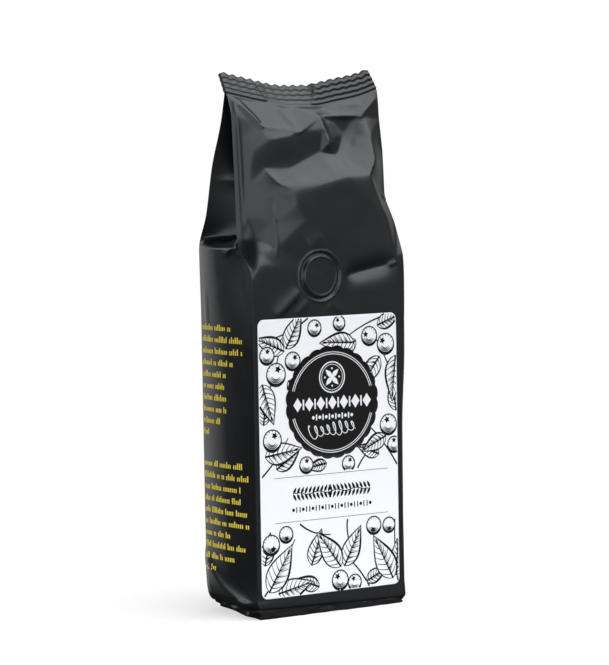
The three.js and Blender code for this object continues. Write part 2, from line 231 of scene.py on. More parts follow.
def soften(field, reach):
    # each value becomes the bell-weighted mean of its neighbours, first along one side, then the other
    cells = int(np.ceil(2.5 * reach / creaseGrid["step"]))
    taps = np.arange(-cells, cells + 1)
    weight = np.exp(-(taps * creaseGrid["step"] / reach)**2 / 2)
    weight /= weight.sum()
    for turn in range(2):
        padded = np.pad(field, ((cells, cells), (0, 0)), mode="edge")
        field = sum(w * padded[cells + t:cells + t + len(field)] for t, w in zip(taps, weight)).T
    return field


def creaseField():
    # flat facets stretched between the creases, each the plane through its three corners; the field is then
    # rounded a little, and a share of it rounded more
    points, edges = [], []
    for chain in frontCreases.values():
        start = len(points)
        points += chain
        edges += [(start + i, start + i + 1) for i in range(len(chain) - 1)]
    flat = [Vector((x, z)) for x, z, y in points]
    corners, _, facets, origin, _, _ = delaunay_2d_cdt(flat, edges, [], 0, 1e-4, True)
    depth = np.array([points[first[0]][2] for first in origin])
    place = np.array([tuple(c) for c in corners])
    x = creaseGrid["fromX"] + creaseGrid["step"] * np.arange(creaseGrid["columns"])[:, None]
    z = creaseGrid["fromZ"] + creaseGrid["step"] * np.arange(creaseGrid["rows"])[None, :]
    reach, low, high = creaseGrid["inside"]
    x, z = np.clip(x, -reach, reach), np.clip(z, low, high)
    field = np.zeros(np.broadcast(x, z).shape)
    for a, b, c in facets:
        (xa, za), (xb, zb), (xc, zc) = place[[a, b, c]]
        area = (xb - xa) * (zc - za) - (xc - xa) * (zb - za)
        shareB = ((x - xa) * (zc - za) - (xc - xa) * (z - za)) / area
        shareC = ((xb - xa) * (z - za) - (x - xa) * (zb - za)) / area
        inside = (shareB >= -1e-6) & (shareC >= -1e-6) & (shareB + shareC <= 1 + 1e-6)
        plane = depth[a] + shareB * (depth[b] - depth[a]) + shareC * (depth[c] - depth[a])
        field = np.where(inside, plane, field)
    sharp, soft = soften(field, creaseGrid["sharp"]), soften(field, creaseGrid["soft"])
    return lerp(sharp, soft, creaseGrid["softShare"])


creased = creaseField()


def creaseDepth(x, z):
    # the field read between its grid points
    column = np.clip((x - creaseGrid["fromX"]) / creaseGrid["step"], 0, creaseGrid["columns"] - 1.001)
    row = np.clip((z - creaseGrid["fromZ"]) / creaseGrid["step"], 0, creaseGrid["rows"] - 1.001)
    i, j = column.astype(int), row.astype(int)
    u, v = column - i, row - j
    below = lerp(creased[i, j], creased[i + 1, j], u)
    return lerp(below, lerp(creased[i, j + 1], creased[i + 1, j + 1], u), v)


def heightAt(x, level):
    # levels are flat low down and follow the sagging fin near the top
    return level - (foot - footHeight(x)) * smoothStep(level, top + 30, foot)


def tuckLine(y, z):
    # how far back a place is, and how far below the crease, which climbs backwards by a cube
    past = np.clip((y + halfDepth) / bag["depth"], 0, 1)
    start, slant, climb = bag["tuckRise"]
    return past, start + slant * past + climb * past**3 - z


def panelSwell(y, z):
    # the side panel's bulge with a crease up its middle, which starts further back near the top of the box,
    # and a swell that rises towards the tuck's crease
    shift, low, high = bag["crownShift"]
    start = shift * smoothStep(z, low, high) + bag["front"]
    across = np.clip((y - start) / (backLeft(z) - start), 0, 1)
    bulge = bag["sideCrown"] * (1 - (2 * across - 1)**2) + bag["sideCrease"] * (1 - np.abs(2 * across - 1))
    past, below = tuckLine(y, z)
    depth, roll = bag["tuckRoll"]
    swell = depth * np.clip(1 + below / roll, 0, 1)**1.3 * np.minimum(1, past * 6) * (1 - past**4)
    return bulge * smoothStep(z, 2, 30) + swell


def sideReach(y, z):
    # half width less a facet that leans in below the tuck's crease, and less at the rear towards the floor
    past, below = tuckLine(y, z)
    facet = (below + np.hypot(below, 0.3)) / 2 * bag["tuckLean"] * (1 - past**1.2)
    return halfWidth - facet * np.minimum(1, past * 8) - tuckInset(z) * past**2


def edgeAt(side, z):
    # where the film's side edges are: straight on the left, a little uneven on the right
    return side * halfWidth + (side > 0) * rightSpread(z)


def edgeShare(x, z):
    # how far out a place is, -1 and 1 at the film's side edges
    return x / (halfWidth + (x > 0) * rightSpread(z))


def frontDepth(x, z, level):
    # flat in the box but for its right and lower edges, creased above it, the fin's own face at the top
    x, z, level = np.broadcast_arrays(np.asarray(x, float), np.asarray(z, float), np.asarray(level, float))
    across = edgeShare(x, z)
    x = across * halfWidth
    depth, height, reach = bag["lowerSwell"]
    lower = depth * np.clip((height - z) / reach, 0, 1)**1.3
    flat = np.where(x < 0, 0, bag["rightRound"] * np.abs(across)**24) + bag["front"] - lower
    creases = smoothStep(level, top - 30, top - 12)
    sheet = lerp(flat, creaseDepth(x, z), creases) - creases * foldRise(frontFolds, x, z)
    return lerp(sheet, bag["finFace"], smoothStep(level, foot - 1.5, foot))


def backDepth(x, level):
    # a crowned sheet between its edges, with soft folds and a lap seam down its middle
    across = edgeShare(x, level)
    edge = backLeft(level)
    taut = smoothStep(np.abs(across), 1, 0.9) * smoothStep(level, foot, foot - 8)
    seam = backSeam["rise"] * smoothStep(backSeam["half"] - np.abs(x), 0, backSeam["edge"])
    seam = seam * smoothStep(level, backSeam["end"], backSeam["end"] - 10)
    crown = (backMiddle(level) - edge) * (1 - across**4)
    return edge + crown + taut * (seam + foldRise(backFolds, x, level))


# columns of film across the front or back and down each side, and the width of the first as a share
panelColumns, sideColumns = 8 * bag["teeth"], 26
firstColumns = dict(panel=0.0012, side=0.0025)


def spaced(count, first):
    # even steps, with the first and last places drawn up to the ends, so that a corner stays sharp
    steps = np.linspace(0, 1, count + 1)
    steps[1], steps[-2] = first, 1 - first
    return steps


def corner(side, isFront, level, inset):
    # where the front or back film meets a side panel: out to the side's reach, both less the inset
    z = heightAt(side * halfWidth, level)
    depth = frontDepth(edgeAt(side, z), z, level) if isFront else backDepth(edgeAt(side, level), level)
    reach = sideReach(depth, z) - inset + (side > 0) * rightSpread(z)
    return side * reach, depth - np.sign(depth) * inset, z


def sideFilm(side, frontCorner, backCorner, v, level, inset):
    # straight from corner to corner, bulging out in the box and folded into a V above the lip
    x = lerp(frontCorner[0], backCorner[0], v)
    y = lerp(frontCorner[1], backCorner[1], v)
    z = lerp(frontCorner[2], backCorner[2], v)
    gap = backCorner[1] - frontCorner[1]
    tucked = smoothStep(level, *bag["gussetLip"])
    tent = 1 - np.abs(2 * v - 1)
    inward = np.sqrt(np.maximum(0, (bag["gussetWidth"]**2 - gap**2) / 4)) * tent * tucked
    out = (1 - tucked) * (panelSwell(y, z) + foldRise(sideFolds, y, z) * np.minimum(1, 4 * tent))
    inward = inward + tucked * foldRise(gussetFolds, y, z) * tent * (v > 0.5)
    straight = np.abs(x) + out - inward
    limit = sideReach(y, z) + out - inset + (side > 0) * rightSpread(z)
    x = side * np.where(level < top, np.minimum(straight, limit), straight)
    return x, y, heightAt(x, level)


def filmRings(level, inset):
    # rings of film, one for each level: front left to right, right side, back, left side
    level, inset = level[:, None], inset[:, None]
    leftFront, rightFront = corner(-1, True, level, inset), corner(1, True, level, inset)
    leftBack, rightBack = corner(-1, False, level, inset), corner(1, False, level, inset)
    i = spaced(panelColumns, firstColumns["panel"])[None, :]
    v = spaced(sideColumns, firstColumns["side"])[None, 1:-1]
    frontX = lerp(leftFront[0], rightFront[0], i)
    frontZ = heightAt(frontX, level)
    front = np.stack([frontX, frontDepth(frontX, frontZ, level) + inset, frontZ], -1)
    backX = lerp(leftBack[0], rightBack[0], i)
    back = np.stack([backX, backDepth(backX, level) - inset, heightAt(backX, level)], -1)
    right = np.stack(np.broadcast_arrays(*sideFilm(1, rightFront, rightBack, v, level, inset)), -1)
    left = np.stack(np.broadcast_arrays(*sideFilm(-1, leftFront, leftBack, v, level, inset)), -1)
    return np.concatenate([front, right, back[:, ::-1], left[:, ::-1]], 1)


def finRings(share):
    # a strip that leans back from the foot, pressed into crimps and cut into teeth at its top
    share = share[:, None]
    i = np.arange(panelColumns + 1)[None, :]
    v = np.linspace(0, 1, sideColumns + 1)[None, 1:-1]
    perTooth = panelColumns / bag["teeth"]
    notch = bag["toothDepth"] * np.abs(2 * ((i / perTooth) % 1) - 1)
    crimp = bag["crimpRelief"] * np.sin(2 * np.pi * bag["crimps"] * share)
    leftEnd, rightEnd = bag["finTaper"][0] * share - halfWidth, halfWidth - bag["finTaper"][1] * share

    def place(x, side, tooth):
        # up the leaning strip by its height less the tooth's notch, and out of it by half its thickness
        lean = finLean(x)
        along = share * (bag["finHeight"] - tooth)
        left, right = (start + slant * share for start, slant in bag["finSteps"])
        thick = 1 - smoothStep(x, left, left + 1) * (1 - smoothStep(x, right, right + 1))
        step = bag["finStep"] * thick * smoothStep(share, 0, 0.04)
        offset = side * (bag["finThickness"] / 2 - 0.25 + step) - crimp
        return np.stack(np.broadcast_arrays(
            x, bag["finMiddle"] + along * np.sin(lean) + offset * np.cos(lean),
            footHeight(x) + along * np.cos(lean) - offset * np.sin(lean)), -1)

    x = lerp(leftEnd, rightEnd, i / panelColumns)
    bulge = bag["finThickness"] * v * (1 - v)
    return np.concatenate([
        place(x, -1, notch), place(rightEnd + bulge, 2 * v - 1, bag["toothDepth"]),
        place(x, 1, notch)[:, ::-1], place(leftEnd - bulge, 2 * v - 1, bag["toothDepth"])[:, ::-1]], 1)


def ringFaces(rows, count):
    # quads between rings, with the two end rings closed from their front to their back half
    row, i = np.meshgrid(np.arange(rows - 1), np.arange(count), indexing="ij")
    following = (i + 1) % count
    walls = np.stack([row * count + i, row * count + following, (row + 1) * count + following,
                      (row + 1) * count + i], -1).reshape(-1, 4)
    crease = count - sideColumns // 2
    step = np.arange(1, count // 2 - 1)
    a, b = (crease + step) % count, (crease + step + 1) % count
    c, d = (crease - step - 1) % count, (crease - step) % count
    last = (rows - 1) * count
    caps = np.concatenate([np.stack([a, b, c, d], -1) + last, np.stack([d, c, b, a], -1)])
    ends = []
    for start in (crease, (crease + count // 2) % count):
        near, far = (start + 1) % count, (start - 1) % count
        ends += [(last + start, last + near, last + far), (start, far, near)]
    return walls.tolist() + caps.tolist() + ends


def addPiece(name, points, faces, body="root", smooth=True):
    # a mesh in metres at the origin, riding on its body
    mesh = bpy.data.meshes.new(name)
    mesh.from_pydata((points * mm).tolist(), [], faces)
    mesh.polygons.foreach_set("use_smooth", np.full(len(mesh.polygons), smooth))
    mesh.update()
    piece = bpy.data.objects.new(name, mesh)
    bpy.context.scene.collection.objects.link(piece)
    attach(piece, body)
    return piece


# rings of the valve: radius, half width, rise and how square its section is; the disc's rise, tilt and
# edge; the dot's half width and rise
valve = dict(x=-4.6, z=150.3, rings=((11.2, 0.55, 0.45, 2.5), (10.1, 0.7, -0.7, 4), (8.9, 0.5, 0.45, 2.5)),
             disc=(0.35, -0.055, 8.6, 9.6), dot=(0.45, 0.25))


def valveRise(x, z):
    # bells round the rings' radii, one of them a groove, and a flat disc with a dot in its middle
    r = np.hypot(x - valve["x"], z - valve["z"])
    rings = sum(rise * np.exp(-np.abs((r - radius) / half)**power)
                for radius, half, rise, power in valve["rings"])
    rise, tilt, inner, outer = valve["disc"]
    plate = (rise + tilt * (x - valve["x"])) * (1 - smoothStep(r, inner, outer))
    return rings + plate + valve["dot"][1] * np.exp(-(r / valve["dot"][0])**2)


# the folded seal: its rings as shares of its height, and the turn of the film's lower edge above it
seal = dict(height=4, rows=(0, 0.3, 0.55, 0.8, 0.95), insets=(2.4, 1.0, 1.9, 0.9, 1.4),
            crumple=(0.8, 0.8, 0.9, 0.7, 0.6), pleat=(1.6, 5.5), seed=11,
            turnHeights=(0.15, 0.5, 1.1, 2.0, 3.2), turnInsets=(1.1, 0.6, 0.28, 0.08, 0))
# the film's rings above them: first level, last level and step
filmSteps = ((8, 30, 1.0), (30, 126, 4), (126, foot - 0.3, 0.55))
finRows = 33


def crumple(rings):
    # the folded seal: straight pleats of uneven length between random pushes in and out, one set a ring
    draw = np.random.default_rng(seal["seed"])
    for ring, size in zip(rings, seal["crumple"]):
        run = np.r_[0, np.cumsum(np.hypot(*np.diff(ring[:, :2], axis=0).T))]
        knots = np.cumsum(draw.uniform(*seal["pleat"], 160))
        push = np.interp(run, knots, draw.uniform(-1, 1, 160)) * smoothStep(run[-1] - run, 0, 2)
        length = np.hypot(ring[:, 0], ring[:, 1])
        ring[:, :2] *= (1 + size * push / length)[:, None]


def bandHeight(x):
    # the folded seal is lower on the right
    return lerp(*bag["bandHeights"], x / bag["width"] + 0.5)


def makeFilm():
    # folded seal, the turn of its lower edge, film walls and fin, ring upon ring
    heights = np.r_[seal["height"] * np.array(seal["rows"]), seal["height"] + np.array(seal["turnHeights"])]
    low = filmRings(heights, np.r_[seal["insets"], seal["turnInsets"]])
    for ring, share in zip(low, seal["rows"]):
        ring[:, 2] = share * bandHeight(ring[:, 0])
    for ring, rise in zip(low[len(seal["rows"]):], seal["turnHeights"]):
        ring[:, 2] = bandHeight(ring[:, 0]) + rise
    crumple(low)
    levels = np.concatenate([np.arange(*steps) for steps in filmSteps])
    walls = filmRings(levels, np.zeros(len(levels)))
    front = slice(0, panelColumns + 1)
    walls[:, front, 1] -= valveRise(walls[:, front, 0], walls[:, front, 2])
    fin = finRings(np.linspace(0, 1, finRows))
    rings = np.concatenate([low, walls, fin])
    rows, count = rings.shape[:2]
    return addPiece("filmBag", rings.reshape(-1, 3), ringFaces(rows, count))


film = makeFilm()
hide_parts("bag")
print("film made", len(film.data.polygons))

# the paper label's size, its gap to the film and its thickness, and its grid
label = dict(width=75.4, bottom=9.2, top=132.4, centre=-1.1, corner=3, gap=0.12, thickness=0.12,
             columns=90, rows=130)


def makeLabel():
    # the film's front carried outwards, each column shortened by the round corners
    columns, rows = label["columns"], label["rows"]
    half = label["width"] / 2
    across = half * np.sin(np.linspace(-np.pi / 2, np.pi / 2, columns + 1))
    past = np.maximum(0, np.abs(across) - (half - label["corner"]))
    trim = label["corner"] - np.sqrt(np.maximum(0, label["corner"]**2 - past**2))
    up = np.linspace(0, 1, rows + 1)[None, :]
    z = lerp((label["bottom"] + trim)[:, None], (label["top"] - trim)[:, None], up)
    x = np.broadcast_to((label["centre"] + across)[:, None], z.shape)
    y = frontDepth(x, z, z)
    sheets = [np.stack([x, y - out, z], -1).reshape(-1, 3)
              for out in (label["gap"], label["gap"] + label["thickness"])]
    size = (columns + 1) * (rows + 1)
    index = np.arange(size).reshape(columns + 1, rows + 1)
    quads = np.stack([index[:-1, :-1], index[1:, :-1], index[1:, 1:], index[:-1, 1:]], -1).reshape(-1, 4)
    rim = np.concatenate([index[:, 0], index[-1, 1:], index[-2::-1, -1], index[0, -2:0:-1]])
    edge = np.stack([rim, np.roll(rim, -1), np.roll(rim, -1) + size, rim + size], -1)
    faces = np.concatenate([quads[:, ::-1], quads + size, edge])
    return addPiece("paperLabel", np.concatenate(sheets), faces.tolist())


paper = makeLabel()
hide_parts("front_label")
print("label made")

# print: every stroke is a thin closed ribbon laid on the surface below it, in millimetres
layers = dict(ink=0.25, badge=0.31, badgeInk=0.36, thickness=0.04, sideInk=0.03)


def onFront(x, z, lift):
    # places on the front film, lifted straight forwards
    return np.stack([x, frontDepth(x, z, z) - lift, z], -1)


def onSide(side, y, z, lift):
    # the flat length of a side panel: bulged between its corners, cut back near the tucked foot
    front, back = frontDepth(edgeAt(side, z), z, z), backLeft(z)
    v = (y - front) / (back - front)
    straight = lerp(sideReach(front, z), sideReach(back, z), v)
    out = panelSwell(y, z) + (side > 0) * rightSpread(z) + lift
    reach = np.minimum(straight, sideReach(y, z)) + out
    return np.stack([side * reach, y, z], -1)


def turned(direction):
    # a quarter turn to the left
    return np.stack([-direction[..., 1], direction[..., 0]], -1)


def pointing(angle):
    # steps of length 1 at angles in radians
    return np.stack([np.cos(angle), np.sin(angle)], -1)


def arc(start, heading, length, bend, count):
    # a path that leaves its start at a heading and turns evenly by bend along its length
    along = np.linspace(0, 1, count)
    middle = np.radians(heading) + np.radians(bend) * along / 2
    half = np.radians(bend) * along / 2
    chord = length * along * np.sinc(half / np.pi)
    return np.array(start) + chord[:, None] * pointing(middle)


def inkMesh(name, strokes, surface, low, keep=None):
    # strokes are (path, half width) pairs; each becomes four edges carried along, shut at both ends
    high = low + layers["thickness"]
    vertices, faces, base = [], [], 0
    for count in sorted({len(path) for path, _ in strokes}):
        chosen = [stroke for stroke in strokes if len(stroke[0]) == count]
        path = np.array([stroke[0] for stroke in chosen])
        half = np.array([np.broadcast_to(stroke[1], count) for stroke in chosen])
        run = np.gradient(path, axis=1)
        run /= np.maximum(np.linalg.norm(run, axis=-1, keepdims=True), 1e-9)
        left, right = path + turned(run) * half[..., None], path - turned(run) * half[..., None]
        corners = np.stack([surface(*np.moveaxis(edge, -1, 0), lift)
                            for edge, lift in ((right, low), (left, low), (left, high), (right, high))], 2)
        kept = np.ones((len(chosen), count - 1), bool)
        if keep:
            middle = (path[:, 1:] + path[:, :-1]) / 2
            kept = keep(middle[..., 0], middle[..., 1])
        index = base + np.arange(corners[..., 0].size).reshape(corners.shape[:3])
        here, ahead = index[:, :-1], index[:, 1:]
        for a, b in ((0, 1), (1, 2), (2, 3), (3, 0)):
            faces.append(np.stack([here[..., a], ahead[..., a], ahead[..., b], here[..., b]], -1)[kept])
        gap = np.zeros((len(chosen), 1), bool)
        before, after = np.concatenate([gap, kept], 1), np.concatenate([kept, gap], 1)
        faces.append(index[after & ~before])
        faces.append(index[before & ~after][:, ::-1])
        vertices.append(corners.reshape(-1, 3))
        base += corners[..., 0].size
    points, faces = np.concatenate(vertices), np.concatenate(faces)
    used, faces = np.unique(faces, return_inverse=True)
    return addPiece(name, points[used], faces.reshape(-1, 4).tolist(), smooth=False)


def bar(x, z, wide, high):
    # an upright stroke as wide as the bar
    return np.array([[x, z - high / 2], [x, z + high / 2]]), wide / 2


def lozenge(x, z, wide, high):
    # a level stroke whose width grows evenly to its middle
    t = np.linspace(-1, 1, 9)
    return np.stack([x + t * wide / 2, np.full(9, z)], -1), high / 2 * (1 - np.abs(t)) + 0.01


def disc(x, z, radius):
    # a level stroke whose half width is the circle's, root of 1 - t squared
    t = np.linspace(-1, 1, 13)
    return np.stack([x + t * radius, np.full(13, z)], -1), radius * np.sqrt(np.maximum(0, 1 - t**2)) + 0.01


def leaflet(x, z, heading, length, wide):
    # a stroke whose width swells by a sine, fuller near its root
    t = np.linspace(0, 1, 9)
    path = np.array([x, z]) + pointing(np.radians(heading)) * length * t[:, None]
    return path, wide * np.sin(np.pi * t**0.8) + 0.01


# the label's own pattern: single leaves, sprigs and berries; a motif hides those listed after it
# a leaf's half width as a share of its length, the half widths of its lines, and how many veins a side
leafLook = dict(width=0.26, edge=0.3, rib=0.42, vein=0.15, veins=7, stem=0.42)
motifs = [  # leaf: root x and z, heading, length; berry: centre x and z, radius, crown's heading
    ("berry", -29.5, 108, 5.0, 65), ("berry", -20.5, 113.5, 4.0, 50), ("berry", -34.2, 116.5, 3.8, 80),
    ("leaf", -25, 118, 158, 17), ("leaf", -24, 119, 62, 18), ("leaf", -37, 104, -72, 19),
    ("leaf", -23, 105, -50, 13), ("berry", 30.5, 118.5, 4.6, 140), ("berry", 21.5, 122.5, 4.2, 160),
    ("leaf", 36, 113, -96, 21), ("leaf", 27, 113, -128, 17), ("leaf", 13, 120, 178, 19),
    ("leaf", 14, 121, 214, 13), ("leaf", 26, 127, 20, 14), ("berry", -8.5, 127.5, 3.6, 40),
    ("berry", 5, 129, 3.2, 120), ("berry", 31.5, 82, 4.6, 110), ("berry", 34.5, 72.8, 3.6, 90),
    ("leaf", 30, 77, 205, 15), ("leaf", 36, 88, 100, 15), ("leaf", 26, 69, 160, 13),
    ("berry", 9, 66, 3.4, 60), ("berry", -32, 79, 4.8, 60), ("leaf", -36, 72, 8, 20),
    ("leaf", -30, 66, 35, 16), ("leaf", -36.5, 86, 85, 14), ("berry", -14, 67, 3.6, 80),
    ("leaf", -3, 67, 190, 11), ("leaf", -35, 12, 58, 24), ("leaf", -30, 11, 12, 19),
    ("berry", -33.5, 33, 4.4, -60), ("berry", -25.5, 37, 3.6, -80), ("leaf", -37, 24, 78, 15),
    ("berry", 3.5, 14, 4.4, 130), ("berry", 11.5, 12.2, 3.6, 110), ("leaf", 4, 20, 128, 21),
    ("leaf", 6, 20, 62, 20), ("leaf", 33, 12, 118, 23), ("leaf", 35, 13, 88, 17),
    ("berry", 22.5, 37, 4.0, -100), ("berry", 31, 36.5, 3.4, -80), ("leaf", 18, 12, 25, 13),
    ("leaf", -12, 22, 70, 17), ("leaf", -8, 12, 160, 14),
]
stems = [  # root x and z, heading, length, bend
    (-38, 92, 60, 34, 20), (-12, 132, 215, 26, -30), (38, 92, 105, 32, 18), (34, 132, 190, 28, 22),
    (-38, 63, 40, 22, 18), (37, 62, 120, 34, 24), (-38, 10, 48, 30, 14), (20, 9, 120, 26, 26),
    (36, 9, 100, 30, -14), (-6, 63.5, 150, 12, 30), (14, 63.5, 60, 14, -30), (-18, 41, -40, 18, 40),
    (8, 41, -100, 14, 40),
]


def leafOutline(t, length):
    # a half width that swells by a sine, fuller near the root, drawn out to a point
    return length * leafLook["width"] * np.sin(np.pi * np.clip(t, 0, 1)**0.72) * (1 - 0.25 * t)


def leafStrokes(x, z, heading, length):
    # two edges, a midrib, curved veins to the edge and short strokes of shade along one side of the rib
    t = np.linspace(0, 1, 20)
    root, ahead = np.array([x, z]), pointing(np.radians(heading))
    side = turned(ahead)
    axis = root + ahead * length * t[:, None]
    swell = leafOutline(t, length)
    strokes = [(axis, leafLook["rib"] * (1.1 - t))]

    def branch(place, climb, power, reach, widths):
        # out from a place on the rib to its reach, climbing by a power of the way out
        run = np.linspace(0, 1, len(widths))[:, None]
        path = root + ahead * length * (place + climb * run**power) + side * reach * run
        strokes.append((path, leafLook["vein"] * widths))

    for turn in (-1, 1):
        edge = leafLook["edge"] * (0.5 + (1.3 if turn < 0 else 0.7) * np.sin(np.pi * t))
        strokes.append((axis + side * turn * swell[:, None], edge))
        for place in np.linspace(0.1, 0.8, leafLook["veins"]):
            reach = turn * leafOutline(place + 0.14, length) * 0.97
            branch(place, 0.14, 1.5, reach, np.linspace(1.6, 0.6, 7))
        if turn < 0:
            for place in np.linspace(0.14, 0.86, 26):
                reach = turn * leafOutline(place, length) * (0.42 + 0.2 * np.sin(place * 40))
                branch(place, 0.06, 1, reach, np.linspace(1.2, 0.3, 3))
    return strokes


def berryStrokes(x, z, radius, heading):
    # a ring that thickens below, arcs of shade, ticks inside its upper rim and a small crown of leaflets
    centre = np.array([x, z])
    turn = np.linspace(0, 2 * np.pi, 20)
    strokes = [(centre + radius * pointing(turn), 0.28 + 0.3 * np.maximum(0, -np.sin(turn)))]
    bow = pointing(np.linspace(-2.9, -0.5, 10))
    for share in (0.86, 0.72, 0.58, 0.45):
        strokes.append((centre + radius * share * bow, 0.055 * radius * np.sin(np.linspace(0.1, 3.04, 10))))
    for step in range(7):
        along = np.linspace(0.97, 0.72 + 0.05 * (step % 2), 3)[:, None]
        tick = centre + along * radius * pointing(0.35 + 0.4 * step)
        strokes.append((tick, 0.14 * np.linspace(1.2, 0.4, 3)))
    crown = np.radians(heading)
    mouth = centre + 0.5 * radius * pointing(crown)
    for step in range(5):
        angle = crown + 1.2566 * step
        strokes.append(leaflet(*mouth, np.degrees(angle), 0.34 * radius, 0.1 * radius))
    return strokes


def labelEdge(x, z):
    # distance inside the label's rounded outline
    sideways = label["width"] / 2 - np.abs(x - label["centre"])
    middle = (label["bottom"] + label["top"]) / 2
    upright = (label["top"] - label["bottom"]) / 2 - np.abs(z - middle)
    past = np.hypot(np.maximum(0, label["corner"] - sideways), np.maximum(0, label["corner"] - upright))
    return np.minimum(np.minimum(sideways, upright), label["corner"] - past)


# pairs in the rows below are widths and heights, or a radius or length with a half width
badge = dict(
    x=0.6, z=94, radius=24.5, lobe=0.8, lobes=24, rings=(22.4, 21.5), ringGap=16, ringHalf=0.16,
    emblem=dict(rise=11.2, rings=((6.8, 0.28), (5.7, 0.12)), leaf=(4.9, 1.1), dot=(3.9, 0.45)),
    lozenges=dict(rise=-0.2, pitch=6.3, size=(4.6, 6.2), bar=(0.8, 4.6)),
    beads=dict(rise=-6.3, pitch=1.75, bar=(0.7, 2.6), bead=0.75),
    scroll=dict(rise=-13, reach=12.5, loops=7.5, swing=1.5, climb=2))
nameBand = dict(
    low=41.3, high=63.2, rules=(42.3, 62.2), ruleReach=31, x=-0.3,
    garland=dict(z=54.4, reach=20, pitch=2.1, heading=62, leaf=(3.5, 0.62)),
    beads=dict(z=47.4, pitch=1.75, bar=(0.55, 2.5), bead=0.75))


def openPaper(x, z):
    # where the pattern may be drawn: inside the label, off the badge and off the blank band
    offBadge = np.hypot(x - badge["x"], z - badge["z"]) > badge["radius"] + 0.2
    offBand = (z > nameBand["high"]) | (z < nameBand["low"])
    return offBadge & offBand & (labelEdge(x, z) > 0.45)


def motifCovers(x, z, kind, motifX, motifZ, first, second):
    # whether places lie inside a motif's outline
    if kind == "berry":
        return np.hypot(x - motifX, z - motifZ) < first
    heading, size = first, second
    turn = np.radians(heading)
    along = ((x - motifX) * np.cos(turn) + (z - motifZ) * np.sin(turn)) / size
    across = np.abs((z - motifZ) * np.cos(turn) - (x - motifX) * np.sin(turn))
    return (along > 0) & (along < 1) & (across < leafOutline(along, size))


def clipped(strokes, inFront):
    # each stroke cut into the runs that no motif in front of it covers
    kept = []
    for path, half in strokes:
        fine = np.linspace(0, len(path) - 1, 4 * len(path) - 3)
        at = np.arange(len(path))
        path = np.stack([np.interp(fine, at, path[:, 0]), np.interp(fine, at, path[:, 1])], -1)
        half = np.interp(fine, at, np.broadcast_to(half, len(at)))
        hidden = np.zeros(len(path), bool)
        for motif in inFront:
            hidden |= motifCovers(path[:, 0], path[:, 1], *motif)
        ends = np.flatnonzero(np.diff(np.r_[True, hidden, True].astype(int)))
        for start, stop in zip(ends[::2], ends[1::2]):
            if stop - start > 2:
                kept.append((path[start:stop], half[start:stop]))
    return kept


def makePattern():
    # every motif's strokes, cut where a motif in front of it lies, and the stems behind them all
    strokes = []
    for number, (kind, x, z, first, second) in enumerate(motifs):
        drawn = berryStrokes(x, z, first, second) if kind == "berry" else leafStrokes(x, z, first, second)
        strokes += clipped(drawn, motifs[:number])
    width = leafLook["stem"] * np.linspace(1, 0.6, 24)
    for x, z, heading, length, bend in stems:
        strokes += clipped([(arc((x, z), heading, length, bend, 24), width)], motifs)
    return inkMesh("labelPattern", strokes, onFront, layers["ink"], openPaper)


pattern = makePattern()
print("label pattern made", len(pattern.data.polygons))


def makeBadge():
    # rings of a disc whose rim is drawn in at each lobe's end
    rings, around = 14, 12 * badge["lobes"]
    turn = np.linspace(0, 2 * np.pi, around, endpoint=False)
    rim = badge["radius"] + badge["lobe"] * np.abs(np.sin(badge["lobes"] * turn / 2))**0.8
    share = np.linspace(1 / rings, 1, rings)[:, None]
    x = badge["x"] + share * rim * np.cos(turn)
    z = badge["z"] + share * rim * np.sin(turn)
    low, high = (onFront(x, z, layers["badge"] + lift) for lift in (0, layers["thickness"]))
    centres = [onFront(np.array([badge["x"]]), np.array([badge["z"]]), layers["badge"] + lift)
               for lift in (0, layers["thickness"])]
    index = np.arange(rings * around).reshape(rings, around)
    following = np.roll(index, -1, 1)
    quads = np.stack([index[:-1], index[1:], following[1:], following[:-1]], -1).reshape(-1, 4)
    size = rings * around
    wall = np.stack([index[-1], following[-1], following[-1] + size, index[-1] + size], -1)
    tips = np.stack([np.full(around, 2 * size), index[0], following[0]], -1)
    front = np.stack([np.full(around, 2 * size + 1), index[0] + size, following[0] + size], -1)
    faces = quads[:, ::-1].tolist() + (quads + size).tolist() + wall[:, ::-1].tolist()
    faces += tips[:, ::-1].tolist() + front.tolist()
    points = np.concatenate([low.reshape(-1, 3), high.reshape(-1, 3), *centres])
    return addPiece("labelBadge", points, faces)


badgePlate = makeBadge()


def roundPath(x, z, radius, start, stop, count):
    # part of a circle, from a start to a stop in degrees
    return np.array([x, z]) + radius * pointing(np.radians(np.linspace(start, stop, count)))


